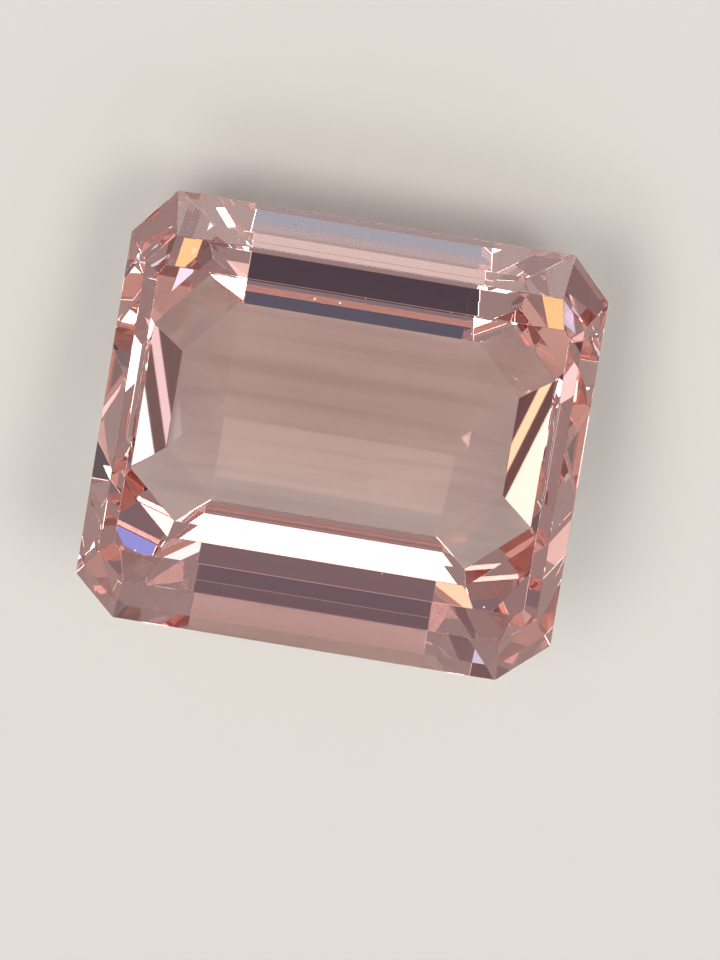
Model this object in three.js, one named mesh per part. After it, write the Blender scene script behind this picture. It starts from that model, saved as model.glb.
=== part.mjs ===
// A large emerald-cut morganite: one faceted, see-through stone.
//
// Millimetres, +Z up. The stone lies the way a loose step-cut stone settles: on one of the two
// long, shallow facets beside its keel, so its table leans towards +Y. X runs along the
// stone's length. The origin is on the ground under the middle of the stone.
//
// The stone is built in its own cut frame first, with the table level and the girdle's upper edge
// at height 0. Every step line around it is an eight-sided ring with sides parallel to the
// girdle's, so every facet between two rings is flat.

import * as THREE from 'three';
import { ConvexGeometry } from 'three/addons/geometries/ConvexGeometry.js';

// Driving dimensions
const LENGTH = 24.7;
const WIDTH = 22.3;
const CORNER_CUT = 2.2;
const GIRDLE_THICKNESS = 0.36;
const CROWN_HEIGHT = 1.75;
const PAVILION_DEPTH = 10.8;
const KEEL_LENGTH = 12.35;

// The lapidary left the stone a little uneven: the keel and the steps next to it sit off the
// middle of the width, and the corner cuts differ, as ratios of a ring's own cut.
const KEEL_OFFSET = 0.25;
const CORNERS = {
  northEast: { sx: 1, sy: 1, alongX: 0.93, alongY: 0.95 },
  northWest: { sx: -1, sy: 1, alongX: 0.92, alongY: 1.13 },
  southWest: { sx: -1, sy: -1, alongX: 1.01, alongY: 0.89 },
  southEast: { sx: 1, sy: -1, alongX: 1.14, alongY: 1.01 },
};

// Each ring: how far its ends and its sides stand in from the girdle's, its corner cut, how much
// of the keel's offset it shares, and its height, as a share of the crown's height above the
// girdle or of the pavilion's depth below it.
const TABLE = { endInset: 1.7, sideInset: 3.7, cut: 0.4, offset: 0, crown: 1 };
const CROWN_STEP = { endInset: 1.0, sideInset: 2.15, cut: 1.45, offset: 0, crown: 0.78 };
const GIRDLE_TOP = { endInset: 0, sideInset: 0, cut: CORNER_CUT, offset: 0, crown: 0 };
const GIRDLE_FOOT = { endInset: 0, sideInset: 0, cut: CORNER_CUT, offset: 0, pavilion: 0 };
const FIRST_STEP = { endInset: 0.35, sideInset: 1.1, cut: 2.4, offset: 0.4, pavilion: 0.19 };
const SECOND_STEP = { endInset: 1.45, sideInset: 3.85, cut: 2.85, offset: 1, pavilion: 0.61 };
const THIRD_STEP = { endInset: 1.85, sideInset: 4.65, cut: 2.65, offset: 1, pavilion: 0.7 };
const LAST_STEP = { endInset: 3.55, sideInset: 5.95, cut: 2.65, offset: 1, pavilion: 0.84 };
const RINGS = [
  TABLE, CROWN_STEP, GIRDLE_TOP, GIRDLE_FOOT, FIRST_STEP, SECOND_STEP, THIRD_STEP, LAST_STEP,
];

const MORGANITE_PINK = 0xe9b8a6;

function ringHeight(ring) {
  if (ring.crown !== undefined) {
    return ring.crown * CROWN_HEIGHT;
  }
  return -GIRDLE_THICKNESS - ring.pavilion * PAVILION_DEPTH;
}

function ringPoints(ring) {
  const halfLength = LENGTH / 2 - ring.endInset;
  const halfWidth = WIDTH / 2 - ring.sideInset;
  const height = ringHeight(ring);
  const aside = ring.offset * KEEL_OFFSET;
  const points = [];
  for (const corner of Object.values(CORNERS)) {
    const { sx, sy } = corner;
    const besideCutX = halfLength - ring.cut * corner.alongX;
    const besideCutY = halfWidth - ring.cut * corner.alongY;
    points.push(new THREE.Vector3(sx * halfLength, sy * besideCutY + aside, height));
    points.push(new THREE.Vector3(sx * besideCutX, sy * halfWidth + aside, height));
  }
  return points;
}

function keelPoints() {
  const height = -GIRDLE_THICKNESS - PAVILION_DEPTH;
  return [
    new THREE.Vector3(-KEEL_LENGTH / 2, KEEL_OFFSET, height),
    new THREE.Vector3(KEEL_LENGTH / 2, KEEL_OFFSET, height),
  ];
}

// The long facet between the last step and the keel sets the stone's lean when it lies on it.
function restingLean() {
  const rise = (1 - LAST_STEP.pavilion) * PAVILION_DEPTH;
  const run = WIDTH / 2 - LAST_STEP.sideInset;
  return Math.atan2(rise, run);
}

function stoneGeometry() {
  const points = RINGS.flatMap(ringPoints).concat(keelPoints());
  const geometry = new ConvexGeometry(points);
  geometry.rotateX(-restingLean());
  geometry.computeBoundingBox();
  const { min, max } = geometry.boundingBox;
  geometry.translate(-(min.x + max.x) / 2, -(min.y + max.y) / 2, -min.z);
  return geometry;
}

const polishedBeryl = new THREE.MeshStandardMaterial({
  color: MORGANITE_PINK,
  roughness: 0.02,
  metalness: 0,
  transparent: true,
  opacity: 0.4,
});

const morganite = new THREE.Mesh(stoneGeometry(), polishedBeryl);
morganite.name = 'morganite';

const part = new THREE.Group();
part.name = 'emerald_cut_morganite';
part.add(morganite);

export default part;
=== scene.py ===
import math

import bmesh
import bpy
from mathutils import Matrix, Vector


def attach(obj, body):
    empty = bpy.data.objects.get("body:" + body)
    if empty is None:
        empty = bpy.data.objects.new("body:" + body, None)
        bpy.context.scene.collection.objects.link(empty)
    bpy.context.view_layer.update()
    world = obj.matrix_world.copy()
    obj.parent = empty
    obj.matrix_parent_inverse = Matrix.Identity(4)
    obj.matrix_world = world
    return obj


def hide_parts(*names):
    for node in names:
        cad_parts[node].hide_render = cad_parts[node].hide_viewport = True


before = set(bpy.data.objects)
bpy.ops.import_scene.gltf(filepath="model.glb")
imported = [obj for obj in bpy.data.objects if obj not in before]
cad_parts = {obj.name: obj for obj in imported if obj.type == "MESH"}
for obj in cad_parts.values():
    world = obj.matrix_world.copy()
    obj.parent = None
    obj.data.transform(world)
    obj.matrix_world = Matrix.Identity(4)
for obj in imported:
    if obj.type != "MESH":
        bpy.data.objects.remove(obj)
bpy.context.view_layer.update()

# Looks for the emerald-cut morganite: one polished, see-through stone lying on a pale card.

MM = 0.001
WELD_DISTANCE = 0.001 * MM
FLATNESS_DEG = 0.2

# The stone's own cut frame: X along its length, the table's normal up, the girdle's top at 0.
CROWN_HEIGHT = 1.75 * MM
GIRDLE_THICKNESS = 0.36 * MM
TABLE_HALF_WIDTH = 7.45 * MM

# Facet junctions are rounded by the last polish.
EDGE_ROUNDING = 0.02 * MM
EDGE_SEGMENTS = 2

# Pink beryl
BERYL_IOR = 1.58
ABSORPTION_DENSITY = 29.0
ABSORPTION_COLOUR = (0.816, 0.33, 0.25, 1.0)
POLISH_ROUGHNESS = 0.004
GIRDLE_ROUGHNESS = 0.22

# Painted shade: darker streaks along the stone's length, faint in the shallow facets beside the
# keel, stand in for the streaks of light and shade on the card under the stone
PAINTED_STREAK_SHADE_COLOUR = (0.88, 0.86, 0.86, 1.0)
STREAK_CONTRAST = 0.95
STREAK_LENGTH = 30 * MM
STREAK_WIDTH = 0.9 * MM
STREAK_DEPTH = STREAK_WIDTH * 4
STREAK_HEIGHTS = (-7.6 * MM, -6.6 * MM)
STREAK_EDGES = (0.34, 0.50)

# Painted light: a faint patch inside, right of the middle, where the painted streak shade is
# cleared
LIT_PATCH_CENTRE = (2.6 * MM, -1.6 * MM)
LIT_PATCH_RADIUS = 4.0 * MM
LIT_PATCH_GRAIN = 1.6 * MM
LIT_PATCH_GRAIN_LENGTH = LIT_PATCH_GRAIN * 2
LIT_PATCH_EDGES = (0.44, 0.56)

# Fine dust on the table, most of it near the two long sides
DUST_CELL = 1.4 * MM
DUST_SIZE = 0.045
DUST_SHARE = 0.3
DUST_COLOUR = (0.85, 0.82, 0.80, 1.0)
DUST_BAND = (0.55, 0.8)
DUST_ROUGHNESS = 0.9
TABLE_MARGIN = 0.02 * MM

NOISE_DETAIL = 2.0
CLEAR = (1.0, 1.0, 1.0, 1.0)

# Camera: turned and tilted against the table's normal, as the stone was photographed.
IMAGE_WIDTH_PX = 720
IMAGE_HEIGHT_PX = 960
VIEW_TILT_Y = -6.45
VIEW_TILT_X = -0.66
VIEW_ROLL = 9.45
CAMERA_DISTANCE = 426.6 * MM
FOCAL_LENGTH_PX = 8308
STONE_CENTRE_PX = (341.9, 436.9)
SENSOR_MM = 36.0
CLIP_START = 0.01
CLIP_END = 50

# Light runs between many facets before it leaves the stone.
LIGHT_BOUNCES = 14

# The stone lies on the card with a thin film of air between.
CARD_HALF_SIZE = 3.0
CARD_GAP = 0.03 * MM
CARD_ROUGHNESS = 0.9
CARD_COLOUR = (0.68, 0.66, 0.625, 1.0)


def whole_facets(node):
    """The node's mesh with one face to each flat facet."""
    bm = bmesh.new()
    bm.from_mesh(node.data)
    bmesh.ops.remove_doubles(bm, verts=bm.verts, dist=WELD_DISTANCE)
    bmesh.ops.dissolve_limit(
        bm, angle_limit=math.radians(FLATNESS_DEG), verts=bm.verts, edges=bm.edges)
    return bm


def find_table(node):
    """Centre and outward normal of the stone's largest flat facet."""
    bm = whole_facets(node)
    table = max(bm.faces, key=lambda face: face.calc_area())
    normal = table.normal.copy()
    low = Vector([min(v.co[i] for v in table.verts) for i in range(3)])
    high = Vector([max(v.co[i] for v in table.verts) for i in range(3)])
    centre = (low + high) / 2
    bm.free()
    return centre, normal


def polished_piece(node, name):
    """The stone with whole flat facets and finely rounded junctions."""
    bm = whole_facets(node)
    bmesh.ops.bevel(
        bm, geom=list(bm.edges), offset=EDGE_ROUNDING, offset_type='OFFSET',
        segments=EDGE_SEGMENTS, profile=0.5, affect='EDGES', clamp_overlap=True)
    bmesh.ops.recalc_face_normals(bm, faces=bm.faces)
    mesh = bpy.data.meshes.new(name)
    bm.to_mesh(mesh)
    bm.free()
    piece = bpy.data.objects.new(name, mesh)
    bpy.context.scene.collection.objects.link(piece)
    return piece


class NodeMaths:
    """Short calls for the few kinds of node the materials and the light are made of."""

    def __init__(self, tree):
        self.tree = tree

    def plug(self, value, socket):
        if isinstance(value, bpy.types.NodeSocket):
            self.tree.links.new(value, socket)
        else:
            socket.default_value = value

    def math(self, operation, a, b=0.0):
        node = self.tree.nodes.new("ShaderNodeMath")
        node.operation = operation
        self.plug(a, node.inputs[0])
        self.plug(b, node.inputs[1])
        return node.outputs[0]

    def along(self, vector, axis):
        """How far a vector reaches along an axis."""
        node = self.tree.nodes.new("ShaderNodeVectorMath")
        node.operation = 'DOT_PRODUCT'
        self.plug(vector, node.inputs[0])
        node.inputs[1].default_value = axis
        return node.outputs["Value"]

    def less(self, vector, point):
        node = self.tree.nodes.new("ShaderNodeVectorMath")
        node.operation = 'SUBTRACT'
        self.plug(vector, node.inputs[0])
        node.inputs[1].default_value = point
        return node.outputs["Vector"]

    def ramp(self, value, start, end):
        """0 at start and 1 at end, smooth between."""
        node = self.tree.nodes.new("ShaderNodeMapRange")
        node.interpolation_type = 'SMOOTHSTEP'
        low, high = (start, end) if start < end else (end, start)
        self.plug(value, node.inputs["Value"])
        node.inputs["From Min"].default_value = low
        node.inputs["From Max"].default_value = high
        if start > end:
            node.inputs["To Min"].default_value = 1.0
            node.inputs["To Max"].default_value = 0.0
        return node.outputs["Result"]

    def between(self, value, low, high):
        """1 from low to high and 0 elsewhere."""
        node = self.tree.nodes.new("ShaderNodeMath")
        node.operation = 'COMPARE'
        self.plug(value, node.inputs[0])
        node.inputs[1].default_value = (low + high) / 2
        node.inputs[2].default_value = (high - low) / 2
        return node.outputs[0]

    def blend(self, factor, a, b):
        node = self.tree.nodes.new("ShaderNodeMix")
        node.data_type = 'RGBA'
        self.plug(factor, node.inputs["Factor"])
        self.plug(a, node.inputs["A"])
        self.plug(b, node.inputs["B"])
        return node.outputs["Result"]

    def combine(self, x, y, z):
        node = self.tree.nodes.new("ShaderNodeCombineXYZ")
        for value, socket in zip((x, y, z), node.inputs):
            self.plug(value, socket)
        return node.outputs[0]

    def noise(self, vector):
        node = self.tree.nodes.new("ShaderNodeTexNoise")
        self.plug(vector, node.inputs["Vector"])
        node.inputs["Scale"].default_value = 1.0
        node.inputs["Detail"].default_value = NOISE_DETAIL
        return node.outputs["Fac"]


def painted_streak_shade(maths, x, y, height):
    """White, with painted shade: a little darker in long streaks low in the stone, and clear
    again in a patch of painted light.
    """
    stretched = maths.combine(
        maths.math('DIVIDE', x, STREAK_LENGTH),
        maths.math('DIVIDE', y, STREAK_WIDTH),
        maths.math('DIVIDE', height, STREAK_DEPTH))
    streaks = maths.ramp(maths.noise(stretched), *STREAK_EDGES)
    low = maths.ramp(height, STREAK_HEIGHTS[1], STREAK_HEIGHTS[0])
    off_x = maths.math('SUBTRACT', x, LIT_PATCH_CENTRE[0])
    off_y = maths.math('SUBTRACT', y, LIT_PATCH_CENTRE[1])
    away = maths.math('SQRT', maths.math(
        'ADD', maths.math('MULTIPLY', off_x, off_x), maths.math('MULTIPLY', off_y, off_y)))
    grain = maths.combine(
        maths.math('DIVIDE', maths.math('ADD', x, y), LIT_PATCH_GRAIN_LENGTH),
        maths.math('DIVIDE', maths.math('SUBTRACT', y, x), LIT_PATCH_GRAIN), 0.0)
    wisps = maths.ramp(maths.noise(grain), *LIT_PATCH_EDGES)
    # Painted light: clears the painted streak shade in a patch right of the middle.
    lit_patch = maths.math('MULTIPLY', wisps, maths.ramp(away, LIT_PATCH_RADIUS, 0.0))
    shade = maths.math('SUBTRACT', 1.0, maths.math('MULTIPLY', streaks, STREAK_CONTRAST))
    darker = maths.math('MULTIPLY', low, shade)
    darker = maths.math('MULTIPLY', darker, maths.math('SUBTRACT', 1.0, lit_patch))
    return maths.blend(darker, CLEAR, PAINTED_STREAK_SHADE_COLOUR)


def dust_mask(maths, x, y, height):
    """Small specks on the table, close to its long sides."""
    voronoi = maths.tree.nodes.new("ShaderNodeTexVoronoi")
    voronoi.voronoi_dimensions = '2D'
    cells = maths.combine(
        maths.math('DIVIDE', x, DUST_CELL), maths.math('DIVIDE', y, DUST_CELL), 0.0)
    maths.plug(cells, voronoi.inputs["Vector"])
    voronoi.inputs["Scale"].default_value = 1.0
    split = maths.tree.nodes.new("ShaderNodeSeparateColor")
    maths.plug(voronoi.outputs["Color"], split.inputs[0])
    size = maths.math('MULTIPLY', split.outputs[1], DUST_SIZE)
    speck = maths.math('LESS_THAN', voronoi.outputs["Distance"], size)
    chosen = maths.math('LESS_THAN', split.outputs[0], DUST_SHARE)
    on_table = maths.math('GREATER_THAN', height, CROWN_HEIGHT - TABLE_MARGIN)
    band_start, band_end = (TABLE_HALF_WIDTH * share for share in DUST_BAND)
    near_side = maths.ramp(maths.math('ABSOLUTE', y), band_start, band_end)
    mask = maths.math('MULTIPLY', speck, chosen)
    mask = maths.math('MULTIPLY', mask, on_table)
    return maths.math('MULTIPLY', mask, near_side)


def beryl_material(table_centre, table_normal):
    material = bpy.data.materials.new("morganite_polished")
    material.use_nodes = True
    nodes, links = material.node_tree.nodes, material.node_tree.links
    maths = NodeMaths(material.node_tree)
    coordinate = nodes.new("ShaderNodeTexCoord")
    place = maths.less(coordinate.outputs["Object"], table_centre - table_normal * CROWN_HEIGHT)
    x = maths.along(place, (1, 0, 0))
    y = maths.along(place, table_normal.cross(Vector((1, 0, 0))))
    height = maths.along(place, table_normal)
    from_girdle = maths.math('ABSOLUTE', maths.math('ADD', height, GIRDLE_THICKNESS / 2))
    on_girdle = maths.math('LESS_THAN', from_girdle, GIRDLE_THICKNESS / 2)

    shader = nodes["Principled BSDF"]
    # The base colour carries the painted streak shade and the painted light patch.
    maths.plug(painted_streak_shade(maths, x, y, height), shader.inputs["Base Color"])
    frost = maths.math('MULTIPLY', on_girdle, GIRDLE_ROUGHNESS)
    roughness = maths.math('ADD', POLISH_ROUGHNESS, frost)
    maths.plug(roughness, shader.inputs["Roughness"])
    shader.inputs["IOR"].default_value = BERYL_IOR
    shader.inputs["Transmission Weight"].default_value = 1.0

    dust = nodes.new("ShaderNodeBsdfPrincipled")
    dust.inputs["Base Color"].default_value = DUST_COLOUR
    dust.inputs["Roughness"].default_value = DUST_ROUGHNESS
    surface = nodes.new("ShaderNodeMixShader")
    maths.plug(dust_mask(maths, x, y, height), surface.inputs[0])
    links.new(shader.outputs[0], surface.inputs[1])
    links.new(dust.outputs[0], surface.inputs[2])
    links.new(surface.outputs[0], nodes["Material Output"].inputs["Surface"])

    volume = nodes.new("ShaderNodeVolumeAbsorption")
    volume.inputs["Color"].default_value = ABSORPTION_COLOUR
    volume.inputs["Density"].default_value = ABSORPTION_DENSITY
    links.new(volume.outputs[0], nodes["Material Output"].inputs["Volume"])
    return material


def card_floor():
    size, z = CARD_HALF_SIZE, -CARD_GAP
    mesh = bpy.data.meshes.new("card_floor")
    corners = [(-size, -size, z), (size, -size, z), (size, size, z), (-size, size, z)]
    mesh.from_pydata(corners, [], [(0, 1, 2, 3)])
    floor = bpy.data.objects.new("card_floor", mesh)
    bpy.context.scene.collection.objects.link(floor)
    material = bpy.data.materials.new("pale_card")
    material.use_nodes = True
    shader = material.node_tree.nodes["Principled BSDF"]
    shader.inputs["Base Color"].default_value = CARD_COLOUR
    shader.inputs["Roughness"].default_value = CARD_ROUGHNESS
    mesh.materials.append(material)
    return floor


class WorldLight:
    """A plain room of one brightness, with rectangular lights and dark cloths around it."""

    def __init__(self, base, backdrop):
        world = bpy.data.worlds.new("studio")
        bpy.context.scene.world = world
        world.use_nodes = True
        self.tree = world.node_tree
        self.tree.nodes.clear()
        self.maths = maths = NodeMaths(self.tree)
        direction = self.tree.nodes.new("ShaderNodeTexCoord").outputs["Generated"]
        x, y, z = (maths.along(direction, axis) for axis in ((1, 0, 0), (0, 1, 0), (0, 0, 1)))
        seam = math.radians(AZIMUTH_SEAM + 180)
        ahead = maths.along(direction, (math.cos(seam), math.sin(seam), 0))
        left = maths.along(direction, (-math.sin(seam), math.cos(seam), 0))
        azimuth = maths.math('ADD', maths.math('ARCTAN2', left, ahead), seam)
        # Each kind of place is two angles: one up or around, and one across.
        self.sides = (maths.math('ARCTAN2', z, y), maths.math('ARCSINE', x))
        self.ends = (maths.math('ARCTAN2', z, x), maths.math('ARCSINE', y))
        self.sky = (azimuth, maths.math('ARCSINE', z))
        self.colour = (*base, 1)
        self.backdrop = (*backdrop, 1)

    def patch(self, angles, first, second, radiance):
        """A rectangle from one angle to another in both of its angles, in degrees."""
        maths = self.maths
        inside = [
            maths.between(angle, math.radians(low), math.radians(high))
            for angle, (low, high) in zip(angles, (first, second))]
        mask = maths.math('MULTIPLY', *inside)
        self.colour = maths.blend(mask, self.colour, (*radiance, 1))

    def close(self):
        """The camera itself sees a plain backdrop instead of the lights."""
        nodes, links = self.tree.nodes, self.tree.links
        light = nodes.new("ShaderNodeBackground")
        self.maths.plug(self.colour, light.inputs["Color"])
        backdrop = nodes.new("ShaderNodeBackground")
        backdrop.inputs["Color"].default_value = self.backdrop
        mix = nodes.new("ShaderNodeMixShader")
        links.new(nodes.new("ShaderNodeLightPath").outputs["Is Camera Ray"], mix.inputs[0])
        links.new(light.outputs[0], mix.inputs[1])
        links.new(backdrop.outputs[0], mix.inputs[2])
        links.new(mix.outputs[0], nodes.new("ShaderNodeOutputWorld").inputs["Surface"])


# The room around the stone. Angles are in degrees, each as (from, to), and then comes the
# radiance. A later entry covers an earlier one.
ROOM_BASE = (0.40, 0.40, 0.41)
BACKDROP = (0.74, 0.71, 0.66)
AZIMUTH_SEAM = -170

# Azimuth from +X towards +Y, and elevation
SOFT_BOXES = {
    "overhead_south": ((-86, -38), (45.5, 72.5), (1.1, 1.08, 1.04)),
    "overhead_south_west": ((-168, -101), (58.5, 77.5), (3.2, 3.1, 3.0)),
    "low_south": ((-140, -40), (9, 35), (0.85, 0.83, 0.80)),
    "overhead_north_east": ((10, 62), (60, 74), (9.6, 9.3, 8.9)),
    "overhead_north_west": ((112, 184), (61, 81), (7.6, 7.4, 7.1)),
}
# Up from the horizon beyond the far long side and over to the near one, and across
SIDE_PANELS = {
    "low_window": ((-3.5, 13.7), (-17, 17), (2.5, 2.3, 2.2)),
    "low_window_head": ((13.7, 20), (-15, 15), (0.16, 0.14, 0.16)),
    "dark_wall": ((27.3, 36.7), (-8, 8), (0.20, 0.19, 0.24)),
    "wall_rail": ((36.7, 38.5), (-8, 8), (0.24, 0.22, 0.26)),
    "sill": ((38.5, 41.3), (-8, 8), (0.80, 0.64, 0.66)),
    "dark_wall_top": ((42, 50), (-4.5, 4.5), (0.20, 0.19, 0.23)),
    "ledge": ((56.5, 61.5), (-5, 5), (0.30, 0.31, 0.34)),
    "pale_panel": ((72.4, 74.6), (-4.5, 4.5), (0.46, 0.50, 0.54)),
    "blue_panel": ((69.6, 72.4), (-4.5, 4.5), (0.33, 0.49, 0.64)),
    "camera_shade": ((76, 81), (-4.5, 4.5), (0.20, 0.20, 0.22)),
    "camera_top": ((81.5, 86.5), (-4.5, 4.5), (0.28, 0.30, 0.36)),
    "black_cloth": ((100, 114), (-5.5, 5.5), (0.08, 0.08, 0.11)),
    "near_panel": ((115, 125), (-6, 6), (0.74, 0.74, 0.74)),
    "near_slat": ((117.1, 119), (-6, 6), (0.12, 0.16, 0.24)),
    "cool_panel": ((142.5, 153.5), (-6, 6), (0.22, 0.32, 0.36)),
}
# Up from the horizon beyond the right end and over to the left one, and across
END_PANELS = {
    "right_dark": ((16, 24), (-5, 9), (0.20, 0.17, 0.17)),
    "right_window": ((21.55, 23.25), (-0.7, 0.7), (1.5, 2.1, 2.3)),
    "right_slit": ((21.38, 21.45), (-0.7, 4), (1.2, 1.2, 1.3)),
    "left_dark": ((157.14, 163), (-6, 8), (0.16, 0.11, 0.11)),
    "left_window": ((154.3, 157.14), (-3.6, 5.4), (1.9, 2.0, 1.8)),
    "left_slit": ((157.22, 157.29), (-3.6, 5.4), (1.9, 1.5, 1.0)),
}
# Azimuth and elevation again
CORNER_PANELS = {
    "blue_glint": ((-114.2, -107), (78.2, 79.2), (0.4, 0.7, 1.9)),
    "yellow_lamp": ((7, 9.6), (20.8, 22.8), (1.7, 1.6, 0.8)),
    "right_lamp_high": ((18.9, 25.1), (34.3, 38.3), (1.3, 1.9, 2.4)),
    "right_lamp_near": ((-19.2, -13.6), (25, 29), (1.0, 1.5, 1.8)),
    "right_lamp_top": ((2.8, 17.2), (50, 52.6), (1.4, 2.0, 2.1)),
    "right_shade": ((6.3, 19.7), (38.5, 46), (0.26, 0.24, 0.25)),
    "right_corner": ((27.4, 40.6), (20, 28), (0.26, 0.26, 0.32)),
    "left_shade": ((152, 189), (35, 49), (0.26, 0.22, 0.24)),
    "orange_lamp": ((-165.7, -158.9), (26.4, 30.4), (1.8, 1.3, 0.6)),
    "left_lamp": ((169.7, 174.3), (28.8, 31.2), (0.9, 1.2, 1.7)),
    "left_lamp_high": ((163.3, 168.7), (40, 43), (1.1, 1.1, 1.1)),
    "left_lamp_side": ((149.1, 152.9), (34, 37), (1.4, 1.5, 1.6)),
    "peach_lamp": ((122.1, 128.7), (20.7, 25.7), (1.6, 1.4, 1.0)),
    "left_lamp_top": ((116.8, 127.2), (53.4, 56.4), (1.4, 1.5, 1.6)),
}


def studio_light():
    room = WorldLight(ROOM_BASE, BACKDROP)
    for angles, panels in (
            (room.sky, SOFT_BOXES), (room.sides, SIDE_PANELS),
            (room.ends, END_PANELS), (room.sky, CORNER_PANELS)):
        for first, second, radiance in panels.values():
            room.patch(angles, first, second, radiance)
    room.close()


def place_camera(table_centre, table_normal):
    """Looks along the table's normal, tilted, turned and framed as the photograph is."""
    along_x = Vector((1, 0, 0))
    along_y = table_normal.cross(along_x).normalized()

    def to_part(v):
        return along_x * v.x + along_y * v.y + table_normal * v.z

    tilt_x, tilt_y = math.radians(VIEW_TILT_X), math.radians(VIEW_TILT_Y)
    view = Vector((
        math.sin(tilt_x) * math.cos(tilt_y),
        -math.sin(tilt_y),
        math.cos(tilt_x) * math.cos(tilt_y))).normalized()
    forward = -view
    right = forward.cross(Vector((0, 1, 0))).normalized()
    up = right.cross(forward)
    roll = math.radians(VIEW_ROLL)
    right, up = (right * math.cos(roll) + up * math.sin(roll),
                 up * math.cos(roll) - right * math.sin(roll))
    offset_x = (STONE_CENTRE_PX[0] - IMAGE_WIDTH_PX / 2) / FOCAL_LENGTH_PX
    offset_y = (IMAGE_HEIGHT_PX / 2 - STONE_CENTRE_PX[1]) / FOCAL_LENGTH_PX
    aim = (forward - right * offset_x - up * offset_y).normalized()
    right = (right - aim * right.dot(aim)).normalized()
    up = right.cross(aim)
    data = bpy.data.cameras.new("camera")
    data.sensor_fit = 'VERTICAL'
    data.sensor_height = SENSOR_MM
    data.lens = FOCAL_LENGTH_PX * SENSOR_MM / IMAGE_HEIGHT_PX
    data.clip_start = CLIP_START
    data.clip_end = CLIP_END
    camera = bpy.data.objects.new("camera", data)
    bpy.context.scene.collection.objects.link(camera)
    centre = table_centre - table_normal * CROWN_HEIGHT
    position = centre + to_part(view) * CAMERA_DISTANCE
    matrix = camera.matrix_world.copy()
    matrix.identity()
    for column, axis in enumerate((to_part(right), to_part(up), to_part(-aim))):
        for row in range(3):
            matrix[row][column] = axis[row]
    for row in range(3):
        matrix[row][3] = position[row]
    camera.matrix_world = matrix
    bpy.context.scene.camera = camera


stone_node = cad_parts["morganite"]
table_centre, table_normal = find_table(stone_node)

stone = polished_piece(stone_node, "morganite_polished")
stone.data.materials.append(beryl_material(table_centre, table_normal))
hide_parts("morganite")
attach(stone, "root")

card_floor()
studio_light()
place_camera(table_centre, table_normal)

scene = bpy.context.scene
scene.view_settings.view_transform = 'Standard'
scene.cycles.max_bounces = LIGHT_BOUNCES
scene.cycles.transmission_bounces = LIGHT_BOUNCES
scene.cycles.glossy_bounces = LIGHT_BOUNCES
scene.cycles.volume_bounces = 0
